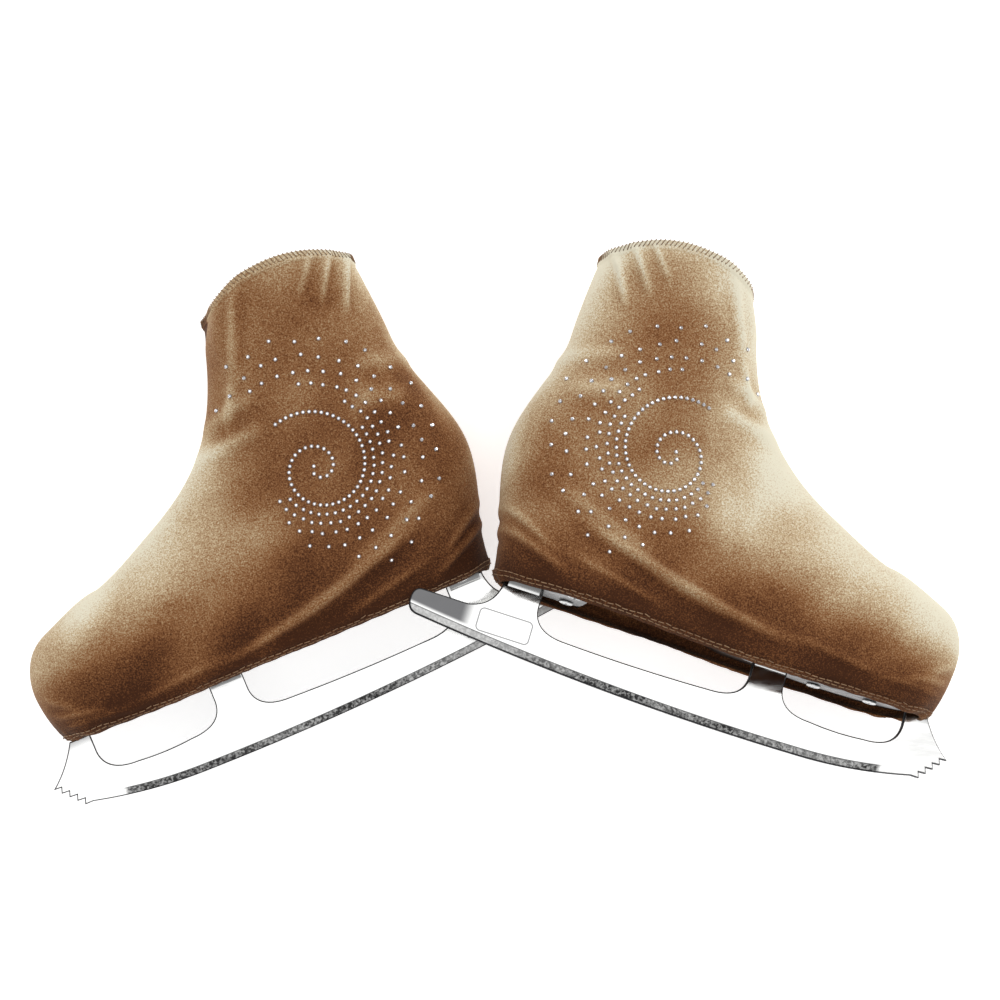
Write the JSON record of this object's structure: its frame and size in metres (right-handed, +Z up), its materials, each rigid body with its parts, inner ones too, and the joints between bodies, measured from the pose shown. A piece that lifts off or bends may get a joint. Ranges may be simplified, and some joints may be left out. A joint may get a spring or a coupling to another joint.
{
  "type": "figure skates",
  "caption": "Pair of figure skates with toe-pick blades, in fitted velvet boot covers with a swirl of small stones, lying flat on their inner sides.",
  "frame": {"origin": "on the floor, under the centre of the bounding box", "axes": "+X towards the right skate's toe, +Y from the blades towards the collars, +Z up from the floor"},
  "size_m": [0.5154, 0.3118, 0.1108],
  "materials": {
    "velvet": "stretch velvet, brown, with cream and reddish nap",
    "hem": "stitched hem in the same velvet",
    "boot_leather": "smooth boot leather",
    "lining": "soft padded lining",
    "sole_leather": "dark lacquered sole leather",
    "blade_steel": "polished, with a ground band along the edge",
    "screw_steel": "satin"
  },
  "bodies": {
    "left_foot": {"left_blade": "blade_steel", "left_sole_plate": "blade_steel", "left_heel_plate": "blade_steel", "left_outsole": "sole_leather", "left_heel_stack": "sole_leather", "left_insole": "lining", "left_vamp": "boot_leather", "left_lower_tongue": "lining", "left_cover_foot": "velvet", "left_cover_sole_hem": "hem", "left_sole_screw_1": "screw_steel", "left_sole_screw_2": "screw_steel", "left_sole_screw_3": "screw_steel", "left_sole_screw_4": "screw_steel", "left_sole_screw_5": "screw_steel", "left_sole_screw_6": "screw_steel", "left_heel_screw_1": "screw_steel", "left_heel_screw_2": "screw_steel", "left_heel_screw_3": "screw_steel", "left_heel_screw_4": "screw_steel"},
    "left_shaft": {"left_outer_quarter": "boot_leather", "left_inner_quarter": "boot_leather", "left_outer_hook_facing": "boot_leather", "left_inner_hook_facing": "boot_leather", "left_upper_tongue": "lining", "left_collar_padding": "lining", "left_cover_shaft": "velvet", "left_cover_top_hem": "hem"},
    "right_foot": {"right_blade": "blade_steel", "right_sole_plate": "blade_steel", "right_heel_plate": "blade_steel", "right_outsole": "sole_leather", "right_heel_stack": "sole_leather", "right_insole": "lining", "right_vamp": "boot_leather", "right_lower_tongue": "lining", "right_cover_foot": "velvet", "right_cover_sole_hem": "hem", "right_sole_screw_1": "screw_steel", "right_sole_screw_2": "screw_steel", "right_sole_screw_3": "screw_steel", "right_sole_screw_4": "screw_steel", "right_sole_screw_5": "screw_steel", "right_sole_screw_6": "screw_steel", "right_heel_screw_1": "screw_steel", "right_heel_screw_2": "screw_steel", "right_heel_screw_3": "screw_steel", "right_heel_screw_4": "screw_steel"},
    "right_shaft": {"right_outer_quarter": "boot_leather", "right_inner_quarter": "boot_leather", "right_outer_hook_facing": "boot_leather", "right_inner_hook_facing": "boot_leather", "right_upper_tongue": "lining", "right_collar_padding": "lining", "right_cover_shaft": "velvet", "right_cover_top_hem": "hem"}
  },
  "joints": [
    {"name": "left_ankle_flex", "type": "hinge", "parent": "left_foot", "child": "left_shaft", "pos_m": [-0.09002, 0.05847, 0.03855], "axis": [0.0586, 0.0318, 0.9978], "range_deg": [-4, 12], "stiffness_Nm_per_rad": 40},
    {"name": "right_skate_lift", "type": "slide", "parent": "left_foot", "child": "right_foot", "axis": [0, 0, 1], "range_m": [0, 0.25]},
    {"name": "right_ankle_flex", "type": "hinge", "parent": "right_foot", "child": "right_shaft", "pos_m": [0.08042, 0.06051, 0.05368], "axis": [-0.1757, -0.1521, -0.9726], "range_deg": [-4, 12], "stiffness_Nm_per_rad": 40}
  ]
}
